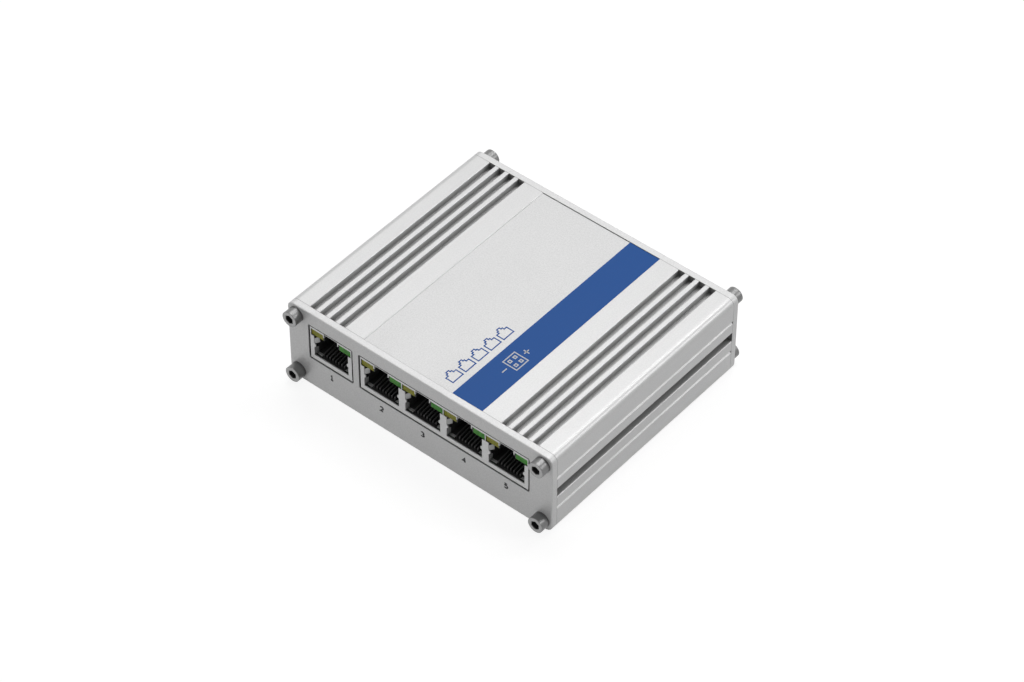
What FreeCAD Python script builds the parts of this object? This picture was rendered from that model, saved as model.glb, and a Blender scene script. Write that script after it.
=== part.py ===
"""Five-port network switch in an extruded aluminium housing.

Frame: millimetres, +Z up, the ports face -Y, +X is to the right of someone who looks at the ports.
The origin lies under the middle of the housing, on the surface that it rests on.
"""
import FreeCAD, Part
import math
import os
from collections import namedtuple
from types import SimpleNamespace

import Sketcher

os.makedirs("parts", exist_ok=True)

# ------------------------------------------------------------------ driving dimensions
SIZES = (
    # housing extrusion
    ("port_side_left", 7.47, "side of the housing to the single jack"),
    ("port_side_right", 7.84, "side of the housing to the ganged jack"),
    ("body_height", 26.5, "outer height of the housing and of both plates"),
    ("body_length", 72.0, "length of the extrusion between the plates"),
    ("corner_radius", 2.1, "radius of the four long corners"),
    ("side_wall", 2.0, "side wall"),
    ("floor_wall", 2.0, "bottom wall"),
    ("roof_wall", 3.4, "top wall, which holds the grooves"),
    ("groove_width", 2.0, "width of a top groove"),
    ("groove_depth", 2.0, "depth of a top groove"),
    ("groove_pitch", 3.375, "spacing of the top grooves"),
    ("groove_count", 4, "grooves on each half of the top"),
    ("groove_inset", 6.1, "from the side to the first groove"),
    ("groove_lip", 0.15, "bevel of the groove edges"),
    ("recess_width", 40.0, "label recess"),
    ("recess_depth", 0.4, "label recess below the top"),
    ("slot_width", 3.0, "mounting slot along each side"),
    ("slot_depth", 2.0, "mounting slot into the side"),
    ("slot_lip", 0.2, "bevel of the slot edges"),
    ("slot_backing", 1.5, "wall behind the slot"),
    ("slot_cheek", 1.4, "wall above the slot"),
    ("vee_width", 1.0, "mouth of a fine V-groove"),
    ("vee_offset", 5.4, "V-groove above and below the slot"),
    ("rail_reach", 1.5, "card rail out of the side wall"),
    ("rail_thickness", 1.2, "lower card rail"),
    ("foot_spacing", 25.0, "between the two tapped holes underneath"),
    ("foot_rib_width", 8.0, "rib that the tapped holes run into"),
    ("foot_rib_height", 1.5, "rib above the bottom wall"),
    # fasteners
    ("screw_inset", 3.1, "screw centres from the outer faces"),
    ("thread_radius", 1.42, "No. 4-40 thread"),
    ("thread_fit", 0.05, "play of a screw in its thread"),
    ("boss_wall", 1.5, "wall around a screw port"),
    ("port_slit", 0.9, "slit of a screw port towards the cavity"),
    ("head_radius", 2.33, "socket head"),
    ("head_height", 2.84, "socket head"),
    ("hex_flats", 2.38, "hexagon socket across the flats"),
    ("hex_depth", 1.5, "hexagon socket"),
    ("screw_length", 8.0, "shank under the head"),
    # end plates
    ("plate_thickness", 2.0, "front and rear plate"),
    ("plate_edge", 0.2, "bevel around the outer face of a plate"),
    ("plate_hole_gap", 0.2, "clearance hole around a screw"),
    ("window_gap", 0.5, "gap around a jack in the front plate"),
    ("window_corner", 0.6, "corner radius of a window"),
    # label
    ("film_thickness", 0.2, "label film"),
    ("film_gap", 0.02, "label film to the recess sides"),
    ("stripe_width", 10.0, "printed stripe along the right edge of the label"),
    ("ink_thickness", 0.04, "printed stripe"),
    # circuit board
    ("board_drop", 2.8, "top of the board below the middle of the housing"),
    ("board_thickness", 1.6, "board"),
    ("board_side_gap", 0.3, "board to each side wall"),
    ("board_end_gap", 0.3, "board to each plate"),
    ("rail_gap", 0.1, "board to each card rail"),
    # jacks; heights are above the board, widths are from the middle of a port
    ("jack_spacing", 2.96, "between the single and the ganged jack"),
    ("port_pitch", 13.97, "spacing of the ganged ports"),
    ("ganged_ports", 4, "ports in the ganged jack"),
    ("jack_setback", 0.15, "jack face behind the plate face"),
    ("jack_depth", 15.5, "jack"),
    ("jack_side", 0.33, "shield beside the outermost light"),
    ("jack_cover", 0.65, "shield above the lights"),
    ("sheet", 0.3, "sheet metal of the shield"),
    ("jack_fit", 0.05, "insulator and lights to what holds them"),
    ("opening_width", 11.8, "plug opening"),
    ("opening_bottom", 1.41, "plug opening"),
    ("opening_top", 8.35, "plug opening"),
    ("guide_reach", 0.5, "guide tab into the opening"),
    ("guide_bottom", 2.95, "guide tab above the opening's bottom"),
    ("guide_height", 1.3, "guide tab"),
    ("guide_slant", 0.35, "slanted end of a guide tab"),
    ("light_wall", 0.15, "light to the turned-in edge beside the latch notch"),
    ("light_spacing", 0.27, "between the lights of neighbouring ports"),
    ("light_height", 2.25, "light above the plug opening"),
    ("light_length", 8.0, "light from front to back"),
    ("light_setback", 0.3, "light behind the jack face"),
    ("key_width", 4.6, "latch notch in the shield"),
    ("key_rim", 0.2, "shield above the latch notch"),
    ("key_flange", 0.85, "turned-in edge beside the latch notch, below the lights' top"),
    ("keyway_gap", 0.2, "latch keyway in the insulator to each side of the latch notch"),
    ("collar_depth", 1.7, "turned-in collar of the opening"),
    ("collar_slant", 1.1, "fall of the collar from front to back"),
    ("front_room", 0.2, "grounding springs and turned-in edges, short of the collar's depth"),
    ("spring_reach", 0.75, "grounding spring into the opening"),
    ("spring_start", 0.6, "grounding spring behind the face"),
    ("spring_bottom", 5.4, "grounding spring"),
    ("spring_height", 2.0, "grounding spring"),
    ("cavity_depth", 12.8, "plug cavity behind the jack face"),
    ("cavity_ceiling", 0.25, "cavity ceiling below the opening's top"),
    ("peg_width", 1.4, "board peg of the shield"),
    ("peg_length", 2.4, "board peg of the shield"),
    ("peg_back", 9.0, "board peg behind the jack face"),
    ("peg_gap", 0.2, "board peg to the edge of its hole"),
    ("contact_count", 8, "contacts in a port"),
    ("contact_pitch", 1.02, "spacing of the contacts"),
    ("contact_width", 0.35, "contact"),
    ("contact_thickness", 0.25, "contact"),
    ("contact_gap", 0.08, "contact to each side of its slot"),
    ("comb_side", 0.125, "comb beside the outermost slot"),
    ("contact_front", 1.1, "front bend of a contact"),
    ("contact_knee", 2.4, "front bend of a contact above the board"),
    ("contact_back", 9.5, "free end of a contact"),
    ("contact_rise", 3.6, "free end of a contact above the board"),
    # power socket; heights are above the board, depths from its mouth
    ("power_inset", 16.45, "side of the housing to the middle of the power socket"),
    ("pin_pitch", 4.2, "spacing of the power pins both ways"),
    ("pin_width", 1.0, "power pin"),
    ("pin_start", 4.6, "tip of a power pin"),
    ("pin_bend", 1.2, "lower pins turn down behind the socket"),
    ("pin_hole_gap", 0.02, "power pin to its hole in the socket"),
    ("power_wall", 0.8, "wall of the power socket"),
    ("power_margin", 2.0, "inside of the power socket beyond the pin centres"),
    ("power_depth", 11.2, "power socket"),
    ("power_back", 1.6, "back wall of the power socket"),
    ("power_key", 1.2, "keyed corner inside the power socket"),
    ("power_proud", 0.8, "power socket out of the rear plate"),
    ("latch_width", 3.2, "latch ramp of the power socket"),
    ("latch_height", 1.1, "latch ramp of the power socket"),
    ("latch_start", 3.4, "latch ramp of the power socket"),
    ("latch_length", 3.0, "latch ramp of the power socket"),
    ("power_gap", 0.25, "power socket to its window"),
    # power light
    ("lamp_spacing", 13.5, "middle of the power socket to that of the power light"),
    ("lamp_height", 4.2, "axis of the power light above the board"),
    ("lamp_radius", 1.5, "power light"),
    ("lamp_proud", 0.6, "power light out of the rear plate"),
    ("lamp_length", 6.6, "power light"),
    ("lamp_gap", 0.1, "power light to its hole"),
    ("holder_width", 4.6, "holder of the power light"),
    ("holder_height", 6.4, "holder of the power light"),
    ("holder_depth", 4.2, "holder of the power light"),
    # parts on the board
    ("part_row", 3.0, "bare strip of board behind the transformers"),
    ("transformer_width", 12.2, "line transformer"),
    ("transformer_depth", 9.4, "line transformer"),
    ("transformer_height", 5.6, "line transformer"),
    ("transformer_bevel", 0.6, "upper edges of a line transformer"),
    ("transformer_gap", 3.0, "line transformer behind the jack"),
    ("chip_x", -6.0, "middle of the switch chip"),
    ("chip_size", 14.0, "switch chip"),
    ("chip_height", 0.9, "switch chip"),
    ("chip_bevel", 0.8, "marked corner of the switch chip"),
    ("package_bevel", 0.4, "edges of the small parts"),
    ("memory_spacing", 16.0, "middle of the switch chip to that of the memory chip"),
    ("memory_length", 5.0, "memory chip"),
    ("memory_width", 6.0, "memory chip"),
    ("memory_height", 1.5, "memory chip"),
    ("regulator_x", 3.0, "regulator chip, from the power socket towards the middle"),
    ("regulator_size", 4.0, "regulator chip"),
    ("crystal_spacing", 11.5, "middle of the switch chip to that of the clock crystal"),
    ("crystal_y", 11.0, "clock crystal behind the front of the part row"),
    ("crystal_length", 5.0, "clock crystal"),
    ("crystal_width", 3.2, "clock crystal"),
    ("crystal_height", 1.2, "clock crystal"),
    ("inductor_x", 12.5, "power inductor, from the power socket towards the middle"),
    ("inductor_size", 7.0, "power inductor"),
    ("inductor_height", 3.6, "power inductor"),
    ("capacitor_inset", 11.45, "side of the housing to the middle of the input capacitor"),
    ("capacitor_size", 6.3, "input capacitor"),
    ("capacitor_height", 7.7, "input capacitor"),
    ("fuse_x", 9.0, "input fuse, from the power socket towards the middle"),
    ("power_row", 11.0, "fuse and diode behind the front of the part row"),
    ("fuse_length", 6.1, "input fuse"),
    ("fuse_width", 2.6, "input fuse"),
    ("diode_x", 19.0, "surge diode, from the power socket towards the middle"),
    ("diode_length", 4.6, "surge diode"),
    ("diode_width", 3.6, "surge diode"),
    ("diode_height", 2.3, "surge diode"),
)

DIAGONAL = math.sqrt(0.5)
SMALL_VOLUME = 1e-6
FULL_TURN = 360.0

doc = FreeCAD.newDocument("network_switch")
sheet = doc.addObject("Spreadsheet::Sheet", "dims")


class Length:
    """A length with the sheet formula that drives it and its present value."""

    def __init__(self, formula, value):
        self.formula = formula
        self.value = value

    def __add__(self, other):
        other = length(other)
        return Length(f"({self.formula} + {other.formula})", self.value + other.value)

    def __sub__(self, other):
        other = length(other)
        return Length(f"({self.formula} - {other.formula})", self.value - other.value)

    def __mul__(self, factor):
        factor = length(factor)
        return Length(f"({self.formula} * {factor.formula})", self.value * factor.value)

    def __truediv__(self, divisor):
        divisor = length(divisor)
        return Length(f"({self.formula} / {divisor.formula})", self.value / divisor.value)

    def __neg__(self):
        return Length(f"(0 - {self.formula})", -self.value)

    def __radd__(self, other):
        return length(other) + self

    def __rsub__(self, other):
        return length(other) - self

    def __rmul__(self, other):
        return length(other) * self


def length(value):
    """A plain number as a Length; a Length stays as it is."""
    if isinstance(value, Length):
        return value
    return Length(f"({value:.9g})", float(value))


def fill_sheet():
    """Write name, value and note of every driving dimension, and hand them back as Lengths."""
    driven = {}
    for row, (name, value, note) in enumerate(SIZES, start=1):
        sheet.set(f"A{row}", name)
        sheet.set(f"B{row}", str(value))
        sheet.set(f"C{row}", note)
        sheet.setAlias(f"B{row}", name)
    doc.recompute()
    for name, value, note in SIZES:
        driven[name] = Length(f"dims.{name}", float(sheet.get(name)))
    return SimpleNamespace(**driven)


d = fill_sheet()
Circle = namedtuple("Circle", "x y radius")


# ------------------------------------------------------------------ modelling helpers
def bind(thing, prop, value):
    """Drive a property from the sheet."""
    thing.setExpression(prop, length(value).formula)


def new_body(name, x=0, y=0, z=0, turn=0):
    """A PartDesign body, placed by the sheet and turned about Z."""
    body = doc.addObject("PartDesign::Body", name)
    body.Label = name
    body.Placement = FreeCAD.Placement(FreeCAD.Vector(), FreeCAD.Rotation(FreeCAD.Vector(0, 0, 1), turn))
    for axis, value in zip("xyz", (x, y, z)):
        bind(body, f"Placement.Base.{axis}", value)
    return body


def origin_feature(body, role):
    """One of the body's own origin planes or axes."""
    for feature in body.Origin.OriginFeatures:
        if feature.Role == role:
            return feature
    raise ValueError(role)


def rectangle(x_low, x_high, y_low, y_high):
    """Corners of an upright rectangle."""
    return [(x_low, y_low), (x_high, y_low), (x_high, y_high), (x_low, y_high)]


def pin_point(sketch, geometry, point, x, y):
    """Hold one sketch point at the driven place x, y."""
    for direction, value in (("DistanceX", length(x)), ("DistanceY", length(y))):
        constraint = Sketcher.Constraint(direction, -1, 1, geometry, point, value.value)
        index = sketch.addConstraint(constraint)
        name = f"{direction}_{geometry}_{point}"
        sketch.renameConstraint(index, name)
        bind(sketch, f"Constraints.{name}", value)


def draw(sketch, outline):
    """Add a closed polygon or a circle to a sketch, fully constrained."""
    first = sketch.GeometryCount
    if isinstance(outline, Circle):
        centre = FreeCAD.Vector(length(outline.x).value, length(outline.y).value, 0)
        radius = length(outline.radius)
        sketch.addGeometry(Part.Circle(centre, FreeCAD.Vector(0, 0, 1), radius.value), False)
        pin_point(sketch, first, 3, outline.x, outline.y)
        index = sketch.addConstraint(Sketcher.Constraint("Radius", first, radius.value))
        sketch.renameConstraint(index, f"radius_{first}")
        bind(sketch, f"Constraints.radius_{first}", radius)
        return
    points = [FreeCAD.Vector(length(x).value, length(y).value, 0) for x, y in outline]
    for start, end in zip(points, points[1:] + points[:1]):
        sketch.addGeometry(Part.LineSegment(start, end), False)
    for step in range(len(points)):
        following = first + (step + 1) % len(points)
        sketch.addConstraint(Sketcher.Constraint("Coincident", first + step, 2, following, 1))
    for step, (x, y) in enumerate(outline):
        pin_point(sketch, first + step, 1, x, y)


def sketch_at(body, name, plane, height, outlines):
    """A sketch parallel to an origin plane, at the coordinate `height` along the plane's axis.

    The XZ plane of a body looks along -Y, so its offset changes sign.
    """
    sketch = body.newObject("Sketcher::SketchObject", name)
    sketch.AttachmentSupport = (origin_feature(body, plane + "_Plane"), [""])
    sketch.MapMode = "FlatFace"
    offset = -length(height) if plane == "XZ" else length(height)
    bind(sketch, "AttachmentOffset.Base.z", offset)
    for outline in outlines:
        draw(sketch, outline)
    return sketch


def pad(body, name, plane, low, high, *outlines):
    """Add the outlines as material between two coordinates along the plane's axis."""
    base = high if plane == "XZ" else low
    sketch = sketch_at(body, name + "_sketch", plane, base, outlines)
    feature = body.newObject("PartDesign::Pad", name)
    feature.Profile = sketch
    bind(feature, "Length", length(high) - low)
    doc.recompute()
    return feature


def pocket(body, name, plane, low, high, *outlines):
    """Cut the outlines out between two coordinates along the plane's axis."""
    before = body.Shape.Volume
    base = low if plane == "XZ" else high
    sketch = sketch_at(body, name + "_sketch", plane, base, outlines)
    feature = body.newObject("PartDesign::Pocket", name)
    feature.Profile = sketch
    bind(feature, "Length", length(high) - low)
    doc.recompute()
    if before - body.Shape.Volume < SMALL_VOLUME:
        raise ValueError(f"{body.Label}: {name} cuts nothing")
    return feature


def revolve(body, name, outline):
    """Turn an outline of (along Y, away from the axis) points about the body's Y axis."""
    sketch = sketch_at(body, name + "_sketch", "YZ", 0, [outline])
    feature = body.newObject("PartDesign::Revolution", name)
    feature.Profile = sketch
    feature.ReferenceAxis = (sketch, ["H_Axis"])
    feature.Angle = FULL_TURN
    doc.recompute()
    return feature


def pick_edges(feature, test):
    """Names of the edges of a feature that pass a test on their two ends."""
    names = []
    for number, edge in enumerate(feature.Shape.Edges, start=1):
        ends = [vertex.Point for vertex in edge.Vertexes]
        if test(ends[0], ends[-1]):
            names.append(f"Edge{number}")
    return names


def dress(body, kind, name, size, test):
    """Round (Fillet) or bevel (Chamfer) the picked edges of the tip."""
    base = body.Tip
    edges = pick_edges(base, test)
    feature = body.newObject("PartDesign::" + kind, name)
    feature.Base = (base, edges)
    bind(feature, "Radius" if kind == "Fillet" else "Size", size)
    doc.recompute()
    return feature


def close(a, b):
    """Whether two coordinates are the same place."""
    return abs(a - b) < 1e-4


def lengthwise_at(places):
    """A test for edges along Y that run through one of the (x, z) places."""
    values = [(length(x).value, length(z).value) for x, z in places]

    def test(start, end):
        along = close(start.x, end.x) and close(start.z, end.z) and not close(start.y, end.y)
        return along and any(close(start.x, x) and close(start.z, z) for x, z in values)

    return test


def repeat(body, name, axis, spacing, count, *features):
    """A row of copies of features along an origin axis."""
    row = body.newObject("PartDesign::LinearPattern", name)
    row.Originals = list(features)
    row.Direction = (origin_feature(body, axis + "_Axis"), [""])
    bind(row, "Length", length(spacing) * (length(count) - 1))
    bind(row, "Occurrences", count)
    body.Tip = row
    doc.recompute()
    return row


def mirror(body, name, plane, *features):
    """Mirror features about an origin plane."""
    copy = body.newObject("PartDesign::Mirrored", name)
    copy.Originals = list(features)
    copy.MirrorPlane = (origin_feature(body, plane + "_Plane"), [""])
    body.Tip = copy
    doc.recompute()
    return copy


def grid(body, name, steps, *features):
    """Copies of features by several patterns, each applied to the result of the one before it.

    A step is ("X", spacing, count) for a row or ("mirror", plane) for a mirror image.
    """
    block = body.newObject("PartDesign::MultiTransform", name)
    block.Originals = list(features)
    patterns = []
    for number, step in enumerate(steps):
        if step[0] == "mirror":
            pattern = body.newObject("PartDesign::Mirrored", f"{name}_{number}")
            pattern.MirrorPlane = (origin_feature(body, step[1] + "_Plane"), [""])
        else:
            pattern = body.newObject("PartDesign::LinearPattern", f"{name}_{number}")
            pattern.Direction = (origin_feature(body, step[0] + "_Axis"), [""])
            bind(pattern, "Length", length(step[1]) * (length(step[2]) - 1))
            bind(pattern, "Occurrences", step[2])
        patterns.append(pattern)
    block.Transformations = patterns
    body.Tip = block
    doc.recompute()
    return block


def block(name, x_low, x_high, y_low, y_high, z_low, z_high):
    """A plain rectangular solid between driven coordinates."""
    box = doc.addObject("Part::Box", name)
    box.Label = name
    for prop, low, high in (("Length", x_low, x_high), ("Width", y_low, y_high), ("Height", z_low, z_high)):
        bind(box, prop, length(high) - low)
    for axis, value in zip("xyz", (x_low, y_low, z_low)):
        bind(box, f"Placement.Base.{axis}", value)
    return box


# ------------------------------------------------------------------ shared places
def last_port(ports):
    """Place of a jack's last port from its first one."""
    return d.port_pitch * (ports - 1)


half_opening = d.opening_width / 2
half_key = d.key_width / 2
half_slot = d.contact_width / 2 + d.contact_gap
first_contact = -d.contact_pitch * (d.contact_count - 1) / 2
half_comb = half_slot + d.comb_side - first_contact
light_inner = half_key + d.sheet + d.light_wall
light_outer = (d.port_pitch - d.light_spacing) / 2
light_top = d.opening_top + d.light_height
jack_height = light_top + d.jack_cover
collar_end = d.collar_depth - d.front_room
shield_reach = light_outer + d.jack_side
jack_row = shield_reach * 4 + d.jack_spacing + last_port(d.ganged_ports)
body_width = d.port_side_left + jack_row + d.port_side_right
half_width = body_width / 2
half_length = d.body_length / 2
plate_face = half_length + d.plate_thickness
middle_height = d.body_height / 2
screw_places = [
    (x, z)
    for x in (d.screw_inset - half_width, half_width - d.screw_inset)
    for z in (d.screw_inset, d.body_height - d.screw_inset)
]
board_top = middle_height - d.board_drop
board_bottom = board_top - d.board_thickness
jack_face = d.jack_setback - plate_face
power_mouth = plate_face + d.power_proud
power_inside = d.pin_pitch / 2 + d.power_margin
power_outside = power_inside + d.power_wall
power_bore = d.power_depth - d.power_back
power_x = half_width - d.power_inset
lamp_x = power_x - d.lamp_spacing
lamp_axis = board_top + d.lamp_height
single_port_x = d.port_side_left + shield_reach - half_width
first_port_x = single_port_x + shield_reach * 2 + d.jack_spacing
single_jack = ("single", single_port_x, length(1))
ganged_jack = ("ganged", first_port_x, d.ganged_ports)
ganged_places = [first_port_x + d.port_pitch * step for step in range(round(d.ganged_ports.value))]
port_places = [single_port_x] + ganged_places
transformer_front = jack_face + d.jack_depth + d.transformer_gap
part_row = transformer_front + d.transformer_depth + d.part_row


# ------------------------------------------------------------------ housing
def make_housing():
    """One extruded tube: grooved roof, label recess, slotted sides, card rails and screw ports."""
    body = new_body("housing_extrusion")
    run = (-half_length, half_length)
    outer = rectangle(-half_width, half_width, 0, d.body_height)
    pad(body, "outer_form", "XZ", *run, outer)
    dress(body, "Fillet", "long_corners", d.corner_radius, lengthwise_at(outer))

    inner_x = half_width - d.side_wall
    ceiling = d.body_height - d.roof_wall
    pocket(body, "cavity", "XZ", *run, rectangle(-inner_x, inner_x, d.floor_wall, ceiling))

    bosses = [Circle(x, z, d.thread_radius + d.boss_wall) for x, z in screw_places]
    pad(body, "screw_bosses", "XZ", *run, *bosses)

    # the wall behind the side slot is the upper card rail as well
    rail_inside = inner_x - d.rail_reach
    backing_inside = half_width - d.slot_depth - d.slot_backing
    upper_rail = board_top + d.rail_gap
    lower_rail = board_bottom - d.rail_gap
    slot_top = middle_height + d.slot_width / 2
    rails = pad(
        body, "card_rails", "XZ", *run,
        rectangle(backing_inside, inner_x + d.side_wall / 2, upper_rail, slot_top + d.slot_cheek),
        rectangle(rail_inside, inner_x + d.side_wall / 2, lower_rail - d.rail_thickness, lower_rail),
    )
    mirror(body, "card_rails_left", "YZ", rails)

    rib = d.foot_rib_width / 2
    foot_ribs = [
        rectangle(side * d.foot_spacing / 2 - rib, side * d.foot_spacing / 2 + rib,
                  d.floor_wall / 2, d.floor_wall + d.foot_rib_height)
        for side in (-1, 1)
    ]
    pad(body, "foot_ribs", "XZ", *run, *foot_ribs)

    groove_floor = d.body_height - d.groove_depth
    first_groove = d.groove_inset - half_width
    groove = pocket(
        body, "groove", "XZ", *run,
        rectangle(first_groove, first_groove + d.groove_width, groove_floor, d.body_height),
    )
    grid(body, "groove_rows", [("X", d.groove_pitch, d.groove_count), ("mirror", "YZ")], groove)
    lips = []
    for step in range(round(d.groove_count.value)):
        left = first_groove + d.groove_pitch * step
        for x in (left, left + d.groove_width):
            lips += [(x, d.body_height), (-x, d.body_height)]
    dress(body, "Chamfer", "groove_lips", d.groove_lip, lengthwise_at(lips))

    pocket(
        body, "label_recess", "XZ", *run,
        rectangle(-d.recess_width / 2, d.recess_width / 2, d.body_height - d.recess_depth, d.body_height),
    )

    slot_floor = half_width - d.slot_depth
    half_vee = d.vee_width / 2
    vees = [
        [(half_width, middle_height + side * d.vee_offset - half_vee),
         (half_width, middle_height + side * d.vee_offset + half_vee),
         (half_width - half_vee, middle_height + side * d.vee_offset)]
        for side in (-1, 1)
    ]
    half_slot = d.slot_width / 2
    side_lines = pocket(
        body, "side_lines", "XZ", *run,
        rectangle(slot_floor, half_width, middle_height - half_slot, middle_height + half_slot),
        *vees,
    )
    mirror(body, "side_lines_left", "YZ", side_lines)
    slot_edges = [
        (x, middle_height + side * half_slot)
        for x in (-half_width, half_width)
        for side in (-1, 1)
    ]
    dress(body, "Chamfer", "slot_lips", d.slot_lip, lengthwise_at(slot_edges))

    bores = [Circle(x, z, d.thread_radius) for x, z in screw_places]
    pocket(body, "screw_bores", "XZ", *run, *bores)
    pocket(body, "screw_slits", "XZ", *run, *[port_slit(x, z) for x, z in screw_places])

    feet = [Circle(side * d.foot_spacing / 2, 0, d.thread_radius) for side in (-1, 1)]
    pocket(body, "foot_holes", "XY", 0, d.floor_wall + d.foot_rib_height, *feet)
    return body


def port_slit(x, z):
    """The slit that opens a screw port towards the cavity, at 45 degrees."""
    inward_x = -1 if x.value > 0 else 1
    inward_z = -1 if z.value > middle_height.value else 1
    start = d.thread_radius * DIAGONAL / 2
    end = (d.thread_radius + d.boss_wall) * DIAGONAL + d.port_slit
    half = d.port_slit * DIAGONAL / 2
    return [
        (x + inward_x * (start - half), z + inward_z * (start + half)),
        (x + inward_x * (start + half), z + inward_z * (start - half)),
        (x + inward_x * (end + half), z + inward_z * (end - half)),
        (x + inward_x * (end - half), z + inward_z * (end + half)),
    ]


# ------------------------------------------------------------------ end plates
def make_plate(name, low, high, outer_face):
    """A plate with the housing's outline, four screw holes and softened outer edges."""
    body = new_body(name)
    outline = rectangle(-half_width, half_width, 0, d.body_height)
    pad(body, "plate", "XZ", low, high, outline)
    dress(body, "Fillet", "corners", d.corner_radius, lengthwise_at(outline))
    face = outer_face.value
    dress(body, "Chamfer", "outer_edges", d.plate_edge,
          lambda a, b: close(a.y, face) and close(b.y, face))
    holes = [Circle(x, z, d.thread_radius + d.plate_hole_gap) for x, z in screw_places]
    pocket(body, "screw_holes", "XZ", low, high, *holes)
    return body


def make_front_plate():
    """Front plate with one window for the single jack and one for the ganged jack."""
    low, high = -plate_face, -half_length
    body = make_plate("front_plate", low, high, low)
    bottom = board_top - d.window_gap
    top = board_top + jack_height + d.window_gap
    windows = []
    for name, x, ports in (single_jack, ganged_jack):
        left = x - shield_reach - d.window_gap
        right = x + last_port(ports) + shield_reach + d.window_gap
        windows.append(rectangle(left, right, bottom, top))
    pocket(body, "windows", "XZ", low, high, *windows)
    corners = [corner for window in windows for corner in window]
    dress(body, "Fillet", "window_corners", d.window_corner, lengthwise_at(corners))
    return body


def make_rear_plate():
    """Rear plate with the power socket's window and the light's hole."""
    low, high = half_length, plate_face
    body = make_plate("rear_plate", low, high, high)
    reach = power_outside + d.power_gap
    bottom = board_top - d.power_gap
    top = board_top + power_outside * 2 + d.power_gap
    notch = d.latch_width / 2 + d.power_gap
    notch_top = top + d.latch_height
    window = [
        (power_x - reach, bottom), (power_x + reach, bottom), (power_x + reach, top),
        (power_x + notch, top), (power_x + notch, notch_top),
        (power_x - notch, notch_top), (power_x - notch, top), (power_x - reach, top),
    ]
    lamp = Circle(lamp_x, lamp_axis, d.lamp_radius + d.lamp_gap)
    pocket(body, "openings", "XZ", low, high, window, lamp)
    return body


# ------------------------------------------------------------------ fasteners
def hexagon(flats):
    """Corners of a hexagon that stands on a corner."""
    reach = flats / math.sqrt(3)
    corners = []
    for step in range(6):
        angle = math.radians(60 * step + 30)
        corners.append((reach * math.cos(angle), reach * math.sin(angle)))
    return corners


def make_screws(name, x, y, turn):
    """Four socket head cap screws, heads towards -Y before the turn, in one node."""
    body = new_body(name, x, y, d.screw_inset, turn)
    shank = d.thread_radius - d.thread_fit
    screw = revolve(body, "screw", [
        (-d.head_height, 0),
        (-d.head_height, d.head_radius),
        (0, d.head_radius),
        (0, shank),
        (d.screw_length, shank),
        (d.screw_length, 0),
    ])
    key = pocket(body, "hexagon", "XZ", -d.head_height, d.hex_depth - d.head_height, hexagon(d.hex_flats))
    across = body_width - d.screw_inset * 2
    upwards = d.body_height - d.screw_inset * 2
    grid(body, "four_screws", [("X", across, length(2)), ("Z", upwards, length(2))], screw, key)
    return body


# ------------------------------------------------------------------ label
def make_label():
    """The film in the recess and the coloured stripe printed along its right edge."""
    half_film = d.recess_width / 2 - d.film_gap
    bottom = d.body_height - d.recess_depth
    film_top = bottom + d.film_thickness
    block("label_film", -half_film, half_film, -half_length, half_length, bottom, film_top)
    block("label_stripe", half_film - d.stripe_width, half_film, -half_length, half_length,
          film_top, film_top + d.ink_thickness)


# ------------------------------------------------------------------ circuit board
def make_board():
    """Board with slots for the shields' pegs."""
    body = new_body("main_board")
    half_board = half_width - d.side_wall - d.board_side_gap
    half_run = half_length - d.board_end_gap
    pad(body, "board", "XY", board_bottom, board_top,
        rectangle(-half_board, half_board, -half_run, half_run))
    holes = []
    peg_y = jack_face + d.peg_back
    half_peg = d.peg_width / 2 + d.peg_gap
    for name, x, ports in (single_jack, ganged_jack):
        left = x - shield_reach
        right = x + last_port(ports) + shield_reach
        for start in (left, right - d.sheet):
            holes.append(rectangle(start - d.peg_gap, start + d.sheet + d.peg_gap,
                                   peg_y - half_peg, peg_y + half_peg))
    pocket(body, "holes", "XY", board_bottom, board_top, *holes)
    return body


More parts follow.
